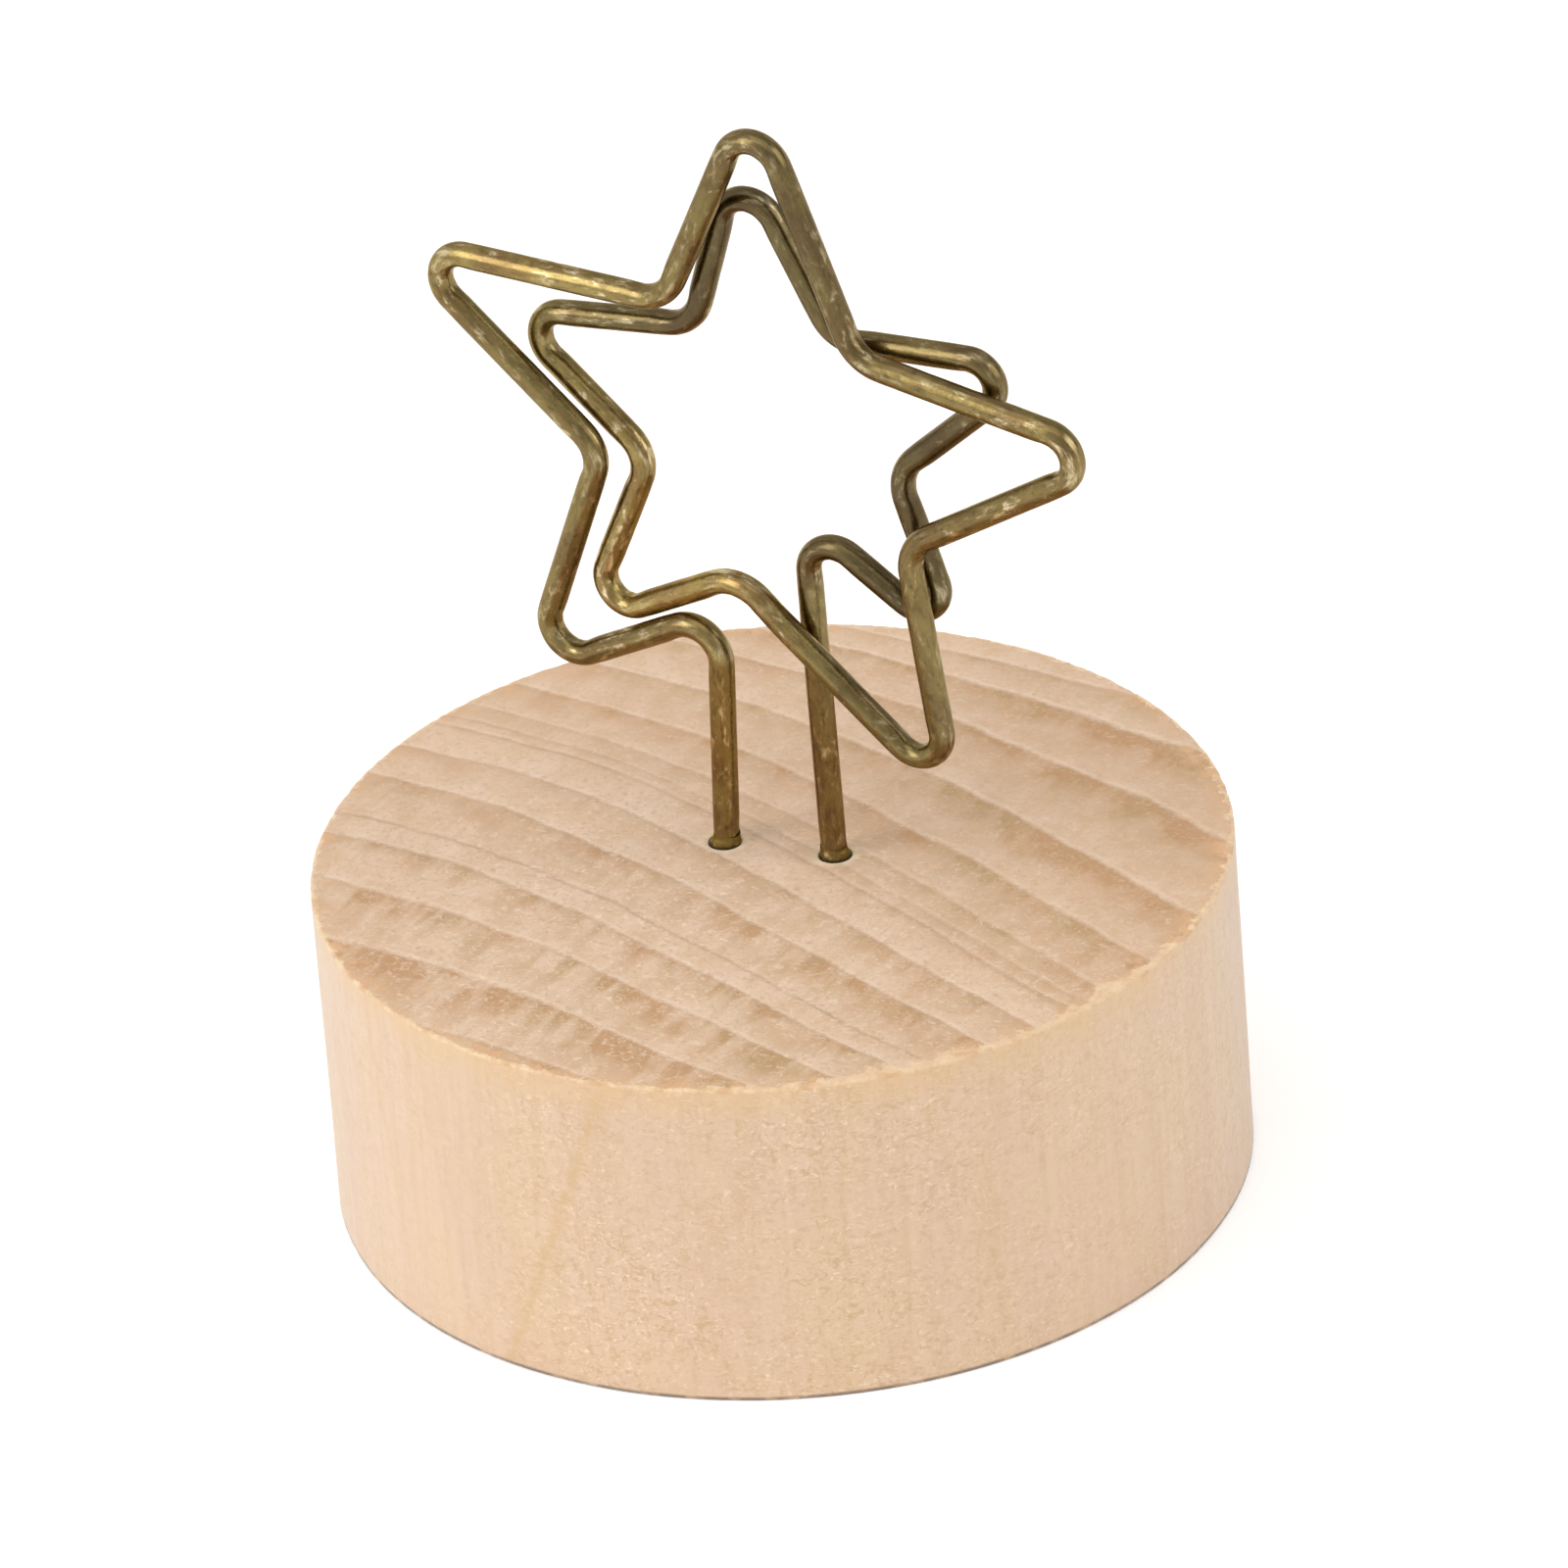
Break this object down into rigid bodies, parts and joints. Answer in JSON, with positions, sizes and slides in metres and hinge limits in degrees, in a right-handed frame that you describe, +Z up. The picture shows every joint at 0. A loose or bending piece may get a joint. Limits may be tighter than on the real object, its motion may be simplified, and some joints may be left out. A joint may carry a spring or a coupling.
{
  "type": "memo clip holder",
  "caption": "Round wooden block with one wire bent into a pair of star-shaped loops that spring together to hold a memo or card upright.",
  "frame": {"origin": "centre of the wooden block's underside", "axes": "+Z up; +X along the plane of the stars; -Y towards the larger, front star"},
  "size_m": [0.052, 0.052, 0.0663],
  "materials": {
    "pale_wood": "sanded bare hardwood, end grain on top",
    "antique_wire": "satin antique bronze, worn brighter on bends",
    "set_glue": "clear glue set dark in the holes"
  },
  "bodies": {
    "holder": {"wooden_base": "pale_wood", "left_leg": "antique_wire", "back_star": "antique_wire", "left_glue": "set_glue", "right_glue": "set_glue"},
    "front_jaw": {"front_star": "antique_wire"}
  },
  "joints": [
    {"name": "clip_open", "type": "hinge", "parent": "holder", "child": "front_jaw", "pos_m": [-0.00217, -0.00029, 0.0314], "axis": [1, 0, 0], "range_deg": [0, 4], "stiffness_Nm_per_rad": 1.2}
  ]
}
